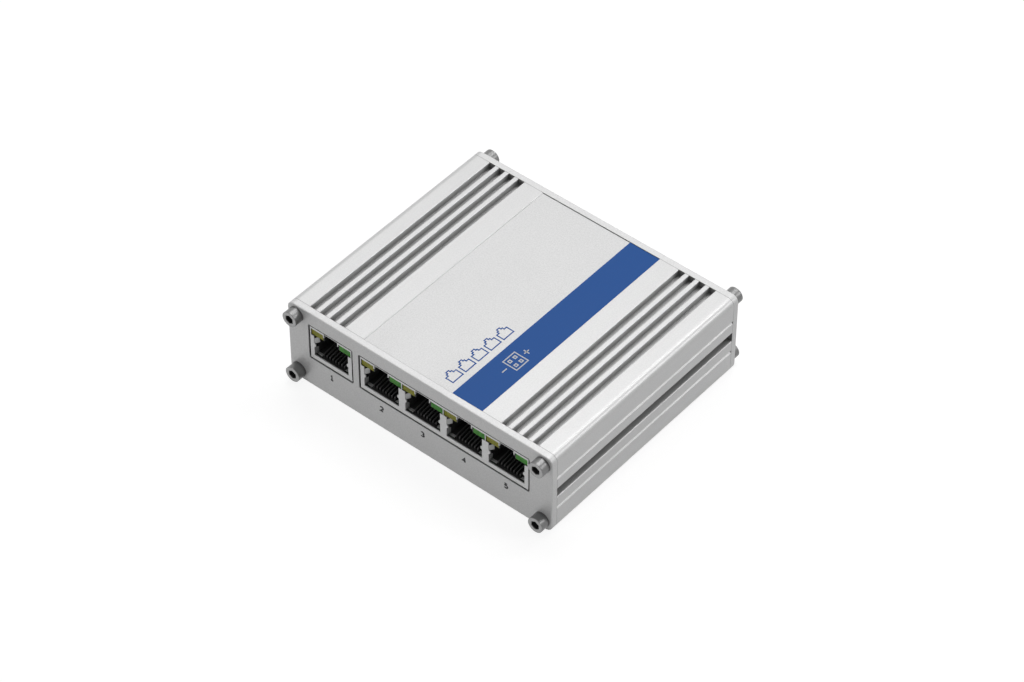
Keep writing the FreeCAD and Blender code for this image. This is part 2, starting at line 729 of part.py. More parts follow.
# ------------------------------------------------------------------ jacks
def make_shield(name, x, ports):
    """Folded shield: closed above, behind and beside, with the shaped openings in its front."""
    body = new_body(name + "_jack_shield", x, jack_face, board_top)
    left, right = -shield_reach, last_port(ports) + shield_reach
    pad(body, "box", "XZ", 0, d.jack_depth, rectangle(left, right, 0, jack_height))
    pocket(body, "hollow", "XY", 0, jack_height - d.sheet,
           rectangle(left + d.sheet, right - d.sheet, d.sheet, d.jack_depth - d.sheet))

    # one opening: plug, guide tabs, lights and latch notch, from the middle outwards on both sides
    guide_low = d.opening_bottom + d.guide_bottom
    guide_high = guide_low + d.guide_height
    inner_guide = half_opening - d.guide_reach
    right_side = [
        (half_opening, d.opening_bottom),
        (half_opening, guide_low),
        (inner_guide, guide_low + d.guide_slant),
        (inner_guide, guide_high - d.guide_slant),
        (half_opening, guide_high),
        (half_opening, d.opening_top),
        (light_outer, d.opening_top),
        (light_outer, light_top),
        (half_key, light_top),
        (half_key, jack_height - d.key_rim),
    ]
    left_side = [(-away, height) for away, height in reversed(right_side)]
    opening = pocket(body, "opening", "XZ", 0, d.sheet, right_side + left_side)

    # edges turned in beside the latch notch
    flange = (light_top - d.key_flange, jack_height - d.sheet / 2)
    flanges = [
        rectangle(half_key, half_key + d.sheet, *flange),
        rectangle(-half_key - d.sheet, -half_key, *flange),
    ]
    key_flanges = pad(body, "key_flanges", "XZ", 0, collar_end, *flanges)

    # collar below the guide tabs, with a floor tab on each side
    collar_tabs = []
    spring_strips = []
    tab_start = half_comb + d.jack_fit
    collar_low = d.opening_bottom - d.sheet
    collar_side = [
        (d.sheet / 2, collar_low), (d.collar_depth, collar_low),
        (d.collar_depth, guide_low - d.collar_slant), (d.sheet / 2, guide_low),
    ]
    left_wall = pad(body, "left_collar", "YZ", -half_opening - d.sheet, -half_opening, collar_side)
    right_wall = pad(body, "right_collar", "YZ", half_opening, half_opening + d.sheet, collar_side)
    for side in (-1, 1):
        edge = side * half_opening
        outwards = side * d.sheet
        collar_tabs.append([
            (side * tab_start, collar_low), (edge + outwards, collar_low),
            (edge + outwards, d.opening_bottom), (side * tab_start, d.opening_bottom),
        ])
        inwards = edge - side * d.spring_reach
        spring_strips.append([
            (edge + outwards, d.sheet / 2), (edge, d.sheet / 2),
            (inwards, collar_end), (inwards + outwards, collar_end), (edge + outwards, d.spring_start),
        ])
    tabs = pad(body, "collar_tabs", "XZ", d.collar_depth / 2, d.collar_depth, *collar_tabs)
    spring_top = d.spring_bottom + d.spring_height
    springs = pad(body, "ground_springs", "XY", d.spring_bottom, spring_top, *spring_strips)

    if round(ports.value) > 1:
        repeat(body, "ports", "X", d.port_pitch, ports,
               opening, key_flanges, left_wall, right_wall, tabs, springs)

    half_peg = d.peg_width / 2
    pegs = [
        rectangle(start, start + d.sheet, d.peg_back - half_peg, d.peg_back + half_peg)
        for start in (left, right - d.sheet)
    ]
    pad(body, "pegs", "XY", -d.peg_length, d.sheet, *pegs)
    return body


def make_insulator(name, x, ports):
    """Moulded insulator: plug cavity, latch keyway, light pockets and slots for the contacts."""
    body = new_body(name + "_jack_insulator", x, jack_face, board_top)
    inset = d.sheet + d.jack_fit
    left, right = inset - shield_reach, last_port(ports) + shield_reach - inset
    front = d.collar_depth + d.jack_fit
    back = d.jack_depth - inset
    top = jack_height - inset
    pad(body, "form", "XZ", front, back, rectangle(left, right, 0, top))

    comb = pad(body, "comb", "XZ", inset, front,
               rectangle(-half_comb, half_comb, 0, d.opening_bottom - d.jack_fit))
    half_keyway = half_key + d.keyway_gap
    cheek_top = light_top - d.key_flange - d.jack_fit
    cheeks = pad(
        body, "light_cheeks", "XZ", inset, front,
        rectangle(half_keyway, light_inner, d.opening_top, cheek_top),
        rectangle(-light_inner, -half_keyway, d.opening_top, cheek_top),
    )
    ceiling = d.opening_top - d.cavity_ceiling
    cavity = pocket(body, "cavity", "XZ", front, d.cavity_depth, [
        (-half_opening, d.opening_bottom), (half_opening, d.opening_bottom), (half_opening, ceiling),
        (half_keyway, ceiling), (half_keyway, top), (-half_keyway, top), (-half_keyway, ceiling),
        (-half_opening, ceiling),
    ])
    light_back = d.light_setback + d.light_length + d.jack_fit
    lights = pocket(
        body, "light_pockets", "XZ", front, light_back,
        rectangle(light_inner, light_outer, d.opening_top, light_top),
        rectangle(-light_outer, -light_inner, d.opening_top, light_top),
    )
    slot_x = (first_contact - half_slot, first_contact + half_slot)
    slot = pocket(body, "contact_slot", "XY", 0, d.opening_bottom,
                  rectangle(*slot_x, d.contact_front - d.contact_gap, d.contact_back + d.contact_gap))
    if round(ports.value) > 1:
        repeat(body, "ports", "X", d.port_pitch, ports, comb, cheeks, cavity, lights)
    steps = [("X", d.contact_pitch, d.contact_count), ("X", d.port_pitch, ports)]
    grid(body, "contact_slots", steps, slot)
    return body


def make_contacts(name, x, ports):
    """Bent contact strips: a foot on the board, the front bend and the rising spring end."""
    body = new_body(name + "_jack_contacts", x, jack_face, board_top)
    thick = d.contact_thickness
    slope = (d.contact_rise - d.contact_knee) / (d.contact_back - d.contact_front)
    half = d.contact_width / 2
    strip = pad(body, "strip", "YZ", first_contact - half, first_contact + half, [
        (d.contact_front, 0),
        (d.contact_front, d.contact_knee),
        (d.contact_back, d.contact_rise),
        (d.contact_back, d.contact_rise - thick),
        (d.contact_front + thick, d.contact_knee + slope * thick - thick),
        (d.contact_front + thick, 0),
    ])
    steps = [("X", d.contact_pitch, d.contact_count), ("X", d.port_pitch, ports)]
    grid(body, "strips", steps, strip)
    return body


def make_lights(name, colour, side, x, ports):
    """The light pipes of one colour, a little behind the shield's face."""
    body = new_body(f"{name}_jack_{colour}_light", x, jack_face, board_top)
    inner = side * (light_inner + d.jack_fit)
    outer = side * (light_outer - d.jack_fit)
    low, high = (inner, outer) if side > 0 else (outer, inner)
    pipe = pad(body, "pipe", "XZ", d.light_setback, d.light_setback + d.light_length,
               rectangle(low, high, d.opening_top + d.jack_fit, light_top - d.jack_fit))
    if round(ports.value) > 1:
        repeat(body, "pipes", "X", d.port_pitch, ports, pipe)
    return body


def make_jack(name, x, ports):
    """All pieces of one jack; port 1 is a single jack, ports 2 to 5 are ganged."""
    make_shield(name, x, ports)
    make_insulator(name, x, ports)
    make_contacts(name, x, ports)
    make_lights(name, "yellow", -1, x, ports)
    make_lights(name, "green", 1, x, ports)


# ------------------------------------------------------------------ power socket and light
def make_power_socket():
    """Square latching header for 2 x 2 pins, its mouth towards +Y after the turn."""
    body = new_body("power_socket", power_x, power_mouth, board_top, 180)
    pad(body, "form", "XZ", 0, d.power_depth,
        rectangle(-power_outside, power_outside, 0, power_outside * 2))
    bottom = power_outside - power_inside
    top = power_outside + power_inside
    pocket(body, "mouth", "XZ", 0, power_bore, [
        (-power_inside, bottom + d.power_key), (d.power_key - power_inside, bottom),
        (power_inside - d.power_key, bottom), (power_inside, bottom + d.power_key),
        (power_inside, top), (-power_inside, top),
    ])
    half_latch = d.latch_width / 2
    latch_end = d.latch_start + d.latch_length
    ramp_foot = power_outside * 2 - d.power_wall / 2
    ramp_top = power_outside * 2 + d.latch_height
    pad(body, "latch", "YZ", -half_latch, half_latch, [
        (d.latch_start, ramp_foot), (latch_end, ramp_foot), (latch_end, ramp_top),
        (latch_end - d.power_wall, ramp_top), (d.latch_start, power_outside * 2),
    ])
    half_hole = d.pin_width / 2 + d.pin_hole_gap
    low_row = power_outside - d.pin_pitch / 2
    left = -d.pin_pitch / 2
    hole = pocket(body, "pin_holes", "XZ", power_bore, d.power_depth,
                  rectangle(left - half_hole, left + half_hole, low_row - half_hole, low_row + half_hole))
    grid(body, "pin_hole_grid", [("X", d.pin_pitch, length(2)), ("Z", d.pin_pitch, length(2))], hole)
    return body


def make_power_pins():
    """Four square pins that run out of the socket's back and turn down to the board."""
    body = new_body("power_pins", power_x, power_mouth, board_top, 180)
    half = d.pin_width / 2
    left = -d.pin_pitch / 2
    lower_bend = d.power_depth + d.pin_bend
    pins = []
    for name, row, bend in (
        ("low", power_outside - d.pin_pitch / 2, lower_bend),
        ("high", power_outside + d.pin_pitch / 2, lower_bend + d.pin_pitch),
    ):
        pins.append(pad(body, name + "_pin", "YZ", left - half, left + half, [
            (d.pin_start, row - half), (bend - half, row - half), (bend - half, 0),
            (bend + half, 0), (bend + half, row + half), (d.pin_start, row + half),
        ]))
    repeat(body, "pin_columns", "X", d.pin_pitch, length(2), *pins)
    return body


def make_power_light():
    """Round light through the rear plate, its face towards +Y after the turn, and the holder behind it."""
    tip = plate_face + d.lamp_proud
    body = new_body("power_light", lamp_x, tip, lamp_axis, 180)
    pad(body, "pipe", "XZ", 0, d.lamp_length, Circle(0, 0, d.lamp_radius))
    half = d.holder_width / 2
    holder_front = tip - d.lamp_length
    block("power_light_holder", lamp_x - half, lamp_x + half, holder_front - d.holder_depth, holder_front,
          board_top, board_top + d.holder_height)


# ------------------------------------------------------------------ parts on the board
def package(name, x, y, size_x, size_y, low, high):
    """A rectangular package that stands on the board with its middle at x, y."""
    body = new_body(name, x, y, board_top)
    half_x = size_x / 2
    half_y = size_y / 2
    pad(body, "package", "XY", low, high, rectangle(-half_x, half_x, -half_y, half_y))
    return body


def upright(start, end):
    """Whether an edge stands upright."""
    return close(start.x, end.x) and close(start.y, end.y)


def moulded(name, x, y, size_x, size_y, height):
    """A package with its four upright edges bevelled."""
    body = package(name, x, y, size_x, size_y, length(0), height)
    dress(body, "Chamfer", "corners", d.package_bevel, upright)
    return body


def make_switch_chip():
    """Flat leadless chip with its first corner bevelled."""
    half = d.chip_size / 2
    size = d.chip_size
    body = package("switch_chip", d.chip_x, part_row + half, size, size, length(0), d.chip_height)
    corner = -half.value
    dress(body, "Chamfer", "first_corner", d.chip_bevel,
          lambda a, b: upright(a, b) and close(a.x, corner) and close(a.y, corner))


def make_transformers():
    """One line transformer behind each port."""
    centre_y = transformer_front + d.transformer_depth / 2
    body = new_body("line_transformers", 0, centre_y, board_top)
    half_x = d.transformer_width / 2
    half_y = d.transformer_depth / 2
    packages = [rectangle(x - half_x, x + half_x, -half_y, half_y) for x in port_places]
    pad(body, "packages", "XY", 0, d.transformer_height, *packages)
    top = d.transformer_height.value
    dress(body, "Chamfer", "upper_edges", d.transformer_bevel,
          lambda a, b: close(a.z, top) and close(b.z, top))


def make_power_parts():
    """Input capacitor, fuse, surge diode, power inductor and regulator."""
    size = d.capacitor_size
    moulded("input_capacitor", half_width - d.capacitor_inset, part_row + size / 2,
            size, size, d.capacitor_height)
    row = part_row + d.power_row
    moulded("input_fuse", power_x - d.fuse_x, row + d.fuse_width / 2,
            d.fuse_length, d.fuse_width, d.fuse_width)
    moulded("surge_diode", power_x - d.diode_x, row + d.diode_width / 2,
            d.diode_length, d.diode_width, d.diode_height)
    size = d.inductor_size
    moulded("power_inductor", power_x - d.inductor_x, part_row + size / 2,
            size, size, d.inductor_height)
    size = d.regulator_size
    moulded("regulator_chip", power_x - d.regulator_x, part_row + size / 2,
            size, size, d.chip_height)


# ------------------------------------------------------------------ build, check and write
def check_document():
    """Stop if any object failed or any piece has no valid solid."""
    doc.recompute()
    for thing in doc.Objects:
        if "Invalid" in thing.State or "Error" in thing.State:
            raise ValueError(f"{thing.Name} failed: {thing.State}")
    pieces = [thing for thing in doc.Objects if thing.TypeId in ("PartDesign::Body", "Part::Box")]
    for piece in pieces:
        if piece.Shape.isNull() or not piece.Shape.isValid() or not piece.Shape.Solids:
            raise ValueError(f"{piece.Label} has no valid solid")
    return pieces


make_housing()
make_front_plate()
make_rear_plate()
make_screws("front_screws", d.screw_inset - half_width, -plate_face, 0)
make_screws("rear_screws", half_width - d.screw_inset, plate_face, 180)
make_label()
make_board()
make_jack(*single_jack)
make_jack(*ganged_jack)
make_power_socket()
make_power_pins()
make_power_light()
make_switch_chip()
make_transformers()
moulded("memory_chip", d.chip_x - d.memory_spacing, part_row + d.memory_width / 2,
        d.memory_length, d.memory_width, d.memory_height)
moulded("clock_crystal", d.chip_x - d.crystal_spacing, part_row + d.crystal_y,
        d.crystal_length, d.crystal_width, d.crystal_height)
make_power_parts()

for piece in check_document():
    piece.Shape.exportStep(f"parts/{piece.Label}.step")
    print(f"{piece.Label}: {len(piece.Shape.Solids)} solids, {piece.Shape.Volume:.1f} mm3")
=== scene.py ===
"""Looks of the five-port network switch: finishes, print, light and camera.

Lengths are in metres, in the part's own frame.
"""

import bpy
import numpy as np
from mathutils import Matrix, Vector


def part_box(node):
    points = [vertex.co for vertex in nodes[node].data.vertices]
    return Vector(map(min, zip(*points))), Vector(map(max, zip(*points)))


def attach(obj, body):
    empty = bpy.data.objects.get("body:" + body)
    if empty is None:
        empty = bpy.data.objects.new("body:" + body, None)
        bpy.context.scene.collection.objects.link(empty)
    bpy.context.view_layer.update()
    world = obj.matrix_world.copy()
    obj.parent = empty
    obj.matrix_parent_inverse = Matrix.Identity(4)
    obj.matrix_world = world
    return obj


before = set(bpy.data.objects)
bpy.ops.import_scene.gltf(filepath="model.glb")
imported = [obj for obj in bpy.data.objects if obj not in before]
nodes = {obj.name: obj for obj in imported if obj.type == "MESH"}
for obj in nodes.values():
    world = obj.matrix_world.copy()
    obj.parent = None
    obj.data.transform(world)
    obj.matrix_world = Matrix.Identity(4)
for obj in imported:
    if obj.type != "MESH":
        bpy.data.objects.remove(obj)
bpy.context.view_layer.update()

MM = 0.001

# ------------------------------------------------------------------ places taken from the frame
plate_low, plate_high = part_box("front_plate")
film_low, film_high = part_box("label_film")
stripe_low, stripe_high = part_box("label_stripe")
single_low, single_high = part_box("single_jack_shield")
ganged_low, ganged_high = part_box("ganged_jack_shield")

GANGED_PORTS = 4
port_half = (single_high.x - single_low.x) / 2
port_pitch = (ganged_high.x - ganged_low.x - 2 * port_half) / (GANGED_PORTS - 1)
port_places = [(single_low.x + single_high.x) / 2]
port_places += [ganged_low.x + port_half + port_pitch * step for step in range(GANGED_PORTS)]

# ------------------------------------------------------------------ sizes of the print
INK = 0.02 * MM
DIGIT_HEIGHT = 1.55 * MM
DIGIT_STROKE = 0.5 * MM
DIGIT_MIDDLE = 7.1 * MM
SYMBOL_STROKE = 0.35 * MM
SOCKET_SIGN = 3.9 * MM
SOCKET_SIGN_PITCH = 5.0 * MM
SIGN_ROW_START = 5.0 * MM
PIN_SIGN = 4.6 * MM
PIN_SIGN_PLACE = 19 * MM

# ------------------------------------------------------------------ the recess's sloped side
RECESS_GAP = 0.02 * MM
RECESS_SLOPE = 0.35 * MM


# ------------------------------------------------------------------ shader helpers
def feed(tree, socket, value):
    """Give a socket its value: another socket is linked to it, and anything else is set on it."""
    if isinstance(value, bpy.types.NodeSocket):
        tree.links.new(value, socket)
    else:
        socket.default_value = value


def add(tree, kind, inputs=None, **settings):
    """A node with its settings and its inputs."""
    new = tree.nodes.new(kind)
    for name, value in settings.items():
        setattr(new, name, value)
    for name, value in (inputs or {}).items():
        feed(tree, new.inputs[name], value)
    return new


def calculated(tree, operation, *values):
    """The outcome of one sum on one or two values."""
    return add(tree, "ShaderNodeMath", dict(enumerate(values)), operation=operation).outputs[0]


def share_of_way(tree, value, start, end, **settings):
    """0 to 1 as a value goes from start to end, and no further past either."""
    limits = {"Value": value, "From Min": start, "From Max": end}
    return add(tree, "ShaderNodeMapRange", limits, **settings).outputs["Result"]


def scaled(tree, value, low, high):
    """A value from 0 to 1 brought to run from low to high."""
    limits = {"Value": value, "To Min": low, "To Max": high}
    return add(tree, "ShaderNodeMapRange", limits).outputs["Result"]


def blend(tree, mask, low, high):
    """A colour that runs from low to high as the mask runs from 0 to 1."""
    return add(tree, "ShaderNodeMix", {0: mask, 6: low, 7: high}, data_type="RGBA").outputs[2]


def noise(tree, vector, size, detail, roughness):
    """Noise with lumps of the given size."""
    per_metre = calculated(tree, "DIVIDE", 1.0, size)
    inputs = {"Vector": vector, "Scale": per_metre, "Detail": detail, "Roughness": roughness}
    return add(tree, "ShaderNodeTexNoise", inputs).outputs["Fac"]


def part_of(tree, vector, axis):
    """One of the three parts of a vector."""
    return add(tree, "ShaderNodeSeparateXYZ", {0: vector}).outputs[axis]


def grey(level):
    """A neutral colour."""
    return (level, level, level, 1.0)


def darkened(colour, share):
    """A colour whose three channels are brought down to a share of themselves."""
    return tuple(channel * share for channel in colour[:3]) + (1.0,)


# ------------------------------------------------------------------ shared effects
NUMBER = "NodeSocketFloat"
VECTOR = "NodeSocketVector"


def shader_group(name, inputs, outputs):
    """An empty node group: the group, the sockets that come in and those that go out."""
    group = bpy.data.node_groups.new(name, "ShaderNodeTree")
    for label, kind, value in inputs:
        socket = group.interface.new_socket(label, in_out="INPUT", socket_type=kind)
        if value is not None:
            socket.default_value = value
    for label, kind in outputs:
        group.interface.new_socket(label, in_out="OUTPUT", socket_type=kind)
    given = group.nodes.new("NodeGroupInput").outputs
    made = group.nodes.new("NodeGroupOutput").inputs
    return group, given, made


def grain_group():
    """Fine speckle of blasted metal or moulded plastic: noise spread about one half."""
    group, given, made = shader_group(
        "fine grain", [("Vector", VECTOR, None), ("Size", NUMBER, 0.3 * MM)], [("Tone", NUMBER)])
    speckle = noise(group, given["Vector"], given["Size"], detail=2.0, roughness=0.6)
    feed(group, made["Tone"], share_of_way(group, speckle, start=0.3, end=0.7))
    return group


def lines_group():
    """Faint parallel lines of drawing or rolling: noise stretched along one axis."""
    group, given, made = shader_group(
        "drawn lines",
        [("Vector", VECTOR, None), ("Stretch", VECTOR, (1.0, 0.01, 1.0)),
         ("Size", NUMBER, 0.3 * MM)],
        [("Tone", NUMBER)])
    drawn = add(group, "ShaderNodeVectorMath", {0: given["Vector"], 1: given["Stretch"]},
                operation="MULTIPLY").outputs[0]
    feed(group, made["Tone"], noise(group, drawn, given["Size"], detail=3.0, roughness=0.55))
    return group


def patches_group():
    """Broad uneven patches, as handling and thin dust leave them: noise with soft edges."""
    group, given, made = shader_group(
        "handled patches", [("Vector", VECTOR, None), ("Size", NUMBER, 20 * MM)],
        [("Mask", NUMBER)])
    cloud = noise(group, given["Vector"], given["Size"], detail=4.0, roughness=0.6)
    mask = share_of_way(group, cloud, start=0.35, end=0.75, interpolation_type="SMOOTHSTEP")
    feed(group, made["Mask"], mask)
    return group


def edges_group():
    """Where an edge is near: how far the rounded normal leans away from the true one."""
    group, given, made = shader_group(
        "broken edges", [("Radius", NUMBER, 0.2 * MM)], [("Mask", NUMBER), ("Normal", VECTOR)])
    rounded = add(group, "ShaderNodeBevel", {"Radius": given["Radius"]}, samples=6).outputs[0]
    true_normal = add(group, "ShaderNodeNewGeometry").outputs["True Normal"]
    alike = add(group, "ShaderNodeVectorMath", {0: rounded, 1: true_normal},
                operation="DOT_PRODUCT").outputs["Value"]
    feed(group, made["Mask"], share_of_way(group, alike, start=0.995, end=0.85))
    feed(group, made["Normal"], rounded)
    return group


# the materials paint shade by this mask into grooves, corners and hollows
def shelter_group():
    """How open a place is: 0 deep in a groove or beside a screw head, 1 in the open."""
    group, given, made = shader_group(
        "open places",
        [("Reach", NUMBER, 3 * MM), ("Closed", NUMBER, 0.3), ("Open", NUMBER, 0.8)],
        [("Mask", NUMBER)])
    openness = add(group, "ShaderNodeAmbientOcclusion", {"Distance": given["Reach"]}, samples=8)
    mask = share_of_way(group, openness.outputs["AO"], given["Closed"], given["Open"],
                        interpolation_type="SMOOTHSTEP")
    feed(group, made["Mask"], mask)
    return group


def seam_group():
    """Where to paint a thin line of shade around the part, where an end plate meets the
    extrusion.
    """
    group, given, made = shader_group(
        "plate seam",
        [("Vector", VECTOR, None), ("Seam", NUMBER, 36 * MM), ("Width", NUMBER, 0.1 * MM)],
        [("Mask", NUMBER)])
    along = calculated(group, "ABSOLUTE", part_of(group, given["Vector"], "Y"))
    from_seam = calculated(group, "SUBTRACT", along, given["Seam"])
    distance = calculated(group, "ABSOLUTE", from_seam)
    feed(group, made["Mask"], share_of_way(group, distance, start=given["Width"], end=0.0))
    return group


# the extrusion paints shade onto the slot floors by this mask
def side_slot_group():
    """How deep a point lies in the slot along a side: 0 outside it, 1 on its floor."""
    group, given, made = shader_group(
        "side slot",
        [("Vector", VECTOR, None), ("Side", NUMBER, 44 * MM), ("End", NUMBER, 36 * MM),
         ("Middle", NUMBER, 13 * MM), ("Half Width", NUMBER, 1.5 * MM),
         ("Depth", NUMBER, 2 * MM)],
        [("Mask", NUMBER)])
    across = calculated(group, "ABSOLUTE", part_of(group, given["Vector"], "X"))
    inwards = calculated(group, "SUBTRACT", given["Side"], across)
    deep = share_of_way(group, inwards, start=0.0, end=given["Depth"])
    above = calculated(group, "SUBTRACT", part_of(group, given["Vector"], "Z"), given["Middle"])
    away = calculated(group, "ABSOLUTE", above)
    within = calculated(group, "LESS_THAN", away, given["Half Width"])
    along = calculated(group, "ABSOLUTE", part_of(group, given["Vector"], "Y"))
    between = calculated(group, "LESS_THAN", along, given["End"])
    inside = calculated(group, "MULTIPLY", within, between)
    feed(group, made["Mask"], calculated(group, "MULTIPLY", deep, inside))
    return group


grain = grain_group()
drawn_lines = lines_group()
patches = patches_group()
edges = edges_group()
shelter = shelter_group()
seam = seam_group()
side_slot = side_slot_group()


def effect(tree, group, **inputs):
    """The outputs of a shared effect in a material; an underscore stands for a space."""
    named = {name.replace("_", " "): value for name, value in inputs.items()}
    return add(tree, "ShaderNodeGroup", named, node_tree=group).outputs


# ------------------------------------------------------------------ finishes
LIGHTEST = 0.95

# anodised aluminium: shades are shares of the metal's own level; the groove, seam and slot ones
# are painted shade, the worn edge is wear and a painted highlight
METAL_SPECKLE = (0.91, 1.07)
WORN_AND_HIGHLIT_EDGE = 1.1
WORN_AND_HIGHLIT_SHARE = 0.5
PAINTED_GROOVE_SHADE = 0.3
PAINTED_SEAM_SHADE = 0.2
PAINTED_SEAM_SHARE = 0.75
PAINTED_SLOT_SHADE = 0.4
SLOT_HALF_WIDTH = 1.6 * MM
HANDLED_ROUGHER = 0.07

# plated steel: shades are shares of the metal's own level; the hollow one is painted shade
STEEL_SPECKLE = 0.94
PAINTED_HOLLOW_SHADE = 0.12

# label film: its rear end carries a painted shadow of the gap at the rear plate
FILM_TONES = (0.74, 0.87)
FILM_END_SHADOW = 0.2
FILM_END_SHADOW_START = 0.2 * MM
FILM_END_SHADOW_FULL = 0.1 * MM

# circuit board
WEAVE_PER_METRE = 1400.0
WEAVE_GREENS = ((0.012, 0.10, 0.045, 1.0), (0.015, 0.12, 0.055, 1.0))
COPPER_GREEN = (0.03, 0.20, 0.08, 1.0)


def new_material(name, **shader):
    """A material whose Principled shader has the given plain values, by socket name."""
    made = bpy.data.materials.new(name)
    made.use_nodes = True
    tree = made.node_tree
    surface = tree.nodes["Principled BSDF"].inputs
    for socket, value in shader.items():
        surface[socket.replace("_", " ")].default_value = value
    coords = add(tree, "ShaderNodeTexCoord").outputs["Object"]
    return made, tree, surface, coords


def relief(tree, surface, height, depth, normal=None):
    """Bump of a given depth, over a rounded normal where there is one."""
    bump = add(tree, "ShaderNodeBump", {"Height": height, "Distance": depth, "Strength": 1.0})
    if normal is not None:
        feed(tree, bump.inputs["Normal"], normal)
    feed(tree, surface["Normal"], bump.outputs[0])


def anodised_aluminium(name, level, speckle, stretch, line_share, edge_radius, rough):
    """Blasted and clear anodised aluminium: speckled, faintly lined, bright at its broken edges
    from wear and a painted highlight.

    Grooves, corners, the side slots and the seams beside the end plates are darkened with painted
    shade.
    """
    made, tree, surface, coords = new_material(name, Metallic=0.25, Specular_IOR_Level=0.45)
    fine = effect(tree, grain, Vector=coords, Size=speckle)["Tone"]
    lines = effect(tree, drawn_lines, Vector=coords, Stretch=stretch, Size=0.25 * MM)["Tone"]
    broad = effect(tree, patches, Vector=coords, Size=18 * MM)["Mask"]
    edge_wear_and_light = effect(tree, edges, Radius=edge_radius)
    clear_of_painted_shade = effect(tree, shelter, Reach=3 * MM, Closed=0.1, Open=0.6)["Mask"]
    painted_seam_shade_mask = effect(tree, seam, Vector=coords, Seam=film_high.y)["Mask"]
    slot = effect(tree, side_slot, Vector=coords, Side=plate_high.x, End=film_high.y,
                  Middle=plate_high.z / 2, Half_Width=SLOT_HALF_WIDTH)["Mask"]
    tone = add(tree, "ShaderNodeMix", {0: line_share, 2: fine, 3: lines}).outputs[0]
    dark, light = METAL_SPECKLE
    colour = blend(tree, tone, grey(level * dark), grey(level * light))
    # broken edges lighter: partly wear, partly a painted highlight
    colour = blend(tree, scaled(tree, edge_wear_and_light["Mask"], 0.0, WORN_AND_HIGHLIT_SHARE), colour,
                   grey(min(level * WORN_AND_HIGHLIT_EDGE, LIGHTEST)))
    # painted shade: darker in grooves, corners and beside the plates, by how open a place is
    colour = blend(tree, clear_of_painted_shade, grey(level * PAINTED_GROOVE_SHADE), colour)
    # painted shade of the gap along the plate seams
    colour = blend(tree, scaled(tree, painted_seam_shade_mask, 0.0, PAINTED_SEAM_SHARE), colour, grey(level * PAINTED_SEAM_SHADE))
    # painted shade on the floors of the side slots
    colour = blend(tree, slot, colour, grey(level * PAINTED_SLOT_SHADE))
    feed(tree, surface["Base Color"], colour)
    feed(tree, surface["Roughness"], scaled(tree, broad, rough, rough + HANDLED_ROUGHER))
    relief(tree, surface, tone, depth=0.004 * MM, normal=edge_wear_and_light["Normal"])
    return made


def plated_steel(name, level, metallic, rough, edge_radius, edge_wear_and_light_share=1.3, painted_side_shade_share=1.0):
    """Plated steel of screws and shields: smooth, a little uneven, with painted shade in its
    hollows.

    Broken edges are brighter by wear and a painted highlight, or darker by a painted reflection;
    faces that don't look forwards or backwards are darker by a painted shade, as a screw's side.
    """
    made, tree, surface, coords = new_material(name, Metallic=metallic, Specular_IOR_Level=0.4)
    fine = effect(tree, grain, Vector=coords, Size=0.2 * MM)["Tone"]
    broad = effect(tree, patches, Vector=coords, Size=3 * MM)["Mask"]
    edge_wear_and_light = effect(tree, edges, Radius=edge_radius)
    clear_of_painted_shade = effect(tree, shelter, Reach=2.5 * MM, Closed=0.35, Open=0.85)["Mask"]
    direction = add(tree, "ShaderNodeNewGeometry").outputs["True Normal"]
    forwards = calculated(tree, "ABSOLUTE", part_of(tree, direction, "Y"))
    ends = share_of_way(tree, forwards, start=0.3, end=0.8)
    colour = blend(tree, fine, grey(level * STEEL_SPECKLE), grey(level))
    # painted shade on faces that don't look forwards or backwards, such as a screw head's side
    colour = blend(tree, ends, grey(level * painted_side_shade_share), colour)
    # edge ring: wear and a painted highlight where lighter, a painted dark reflection where
    # darker
    colour = blend(tree, edge_wear_and_light["Mask"], colour, grey(min(level * edge_wear_and_light_share, LIGHTEST)))
    # painted shade in hollows and beside screw heads
    colour = blend(tree, clear_of_painted_shade, grey(level * PAINTED_HOLLOW_SHADE), colour)
    feed(tree, surface["Base Color"], colour)
    feed(tree, surface["Roughness"], scaled(tree, broad, rough * 0.85, rough * 1.2))
    relief(tree, surface, fine, depth=0.002 * MM, normal=edge_wear_and_light["Normal"])
    return made


def moulded_plastic(name, colour, rough, texture):
    """Moulded plastic: a fine spark-eroded texture and slightly uneven gloss."""
    made, tree, surface, coords = new_material(name)
    fine = effect(tree, grain, Vector=coords, Size=texture)["Tone"]
    broad = effect(tree, patches, Vector=coords, Size=5 * MM)["Mask"]
    feed(tree, surface["Base Color"], blend(tree, fine, darkened(colour, 0.75), colour))
    feed(tree, surface["Roughness"], scaled(tree, broad, rough * 0.9, rough * 1.15))
    relief(tree, surface, fine, depth=0.008 * MM)
    return made


def label_film(name):
    """Printed polyester film: pale grey ink under a satin skin with a fine tooth.

    Its rear end, which butts against the rear plate, is painted dark as the gap's shadow.
    """
    made, tree, surface, coords = new_material(name, Metallic=0.15, Specular_IOR_Level=0.4)
    fine = effect(tree, grain, Vector=coords, Size=0.35 * MM)["Tone"]
    broad = effect(tree, patches, Vector=coords, Size=25 * MM)["Mask"]
    deeper, paler = FILM_TONES
    printed = blend(tree, fine, grey(deeper), grey(paler))
    # painted shadow of the gap at the film's rear end
    end = share_of_way(tree, part_of(tree, coords, "Y"), start=film_high.y - FILM_END_SHADOW_START,
                       end=film_high.y - FILM_END_SHADOW_FULL)
    feed(tree, surface["Base Color"], blend(tree, end, printed, grey(FILM_END_SHADOW)))
    feed(tree, surface["Roughness"], scaled(tree, broad, 0.42, 0.52))
    relief(tree, surface, fine, depth=0.005 * MM)
    return made


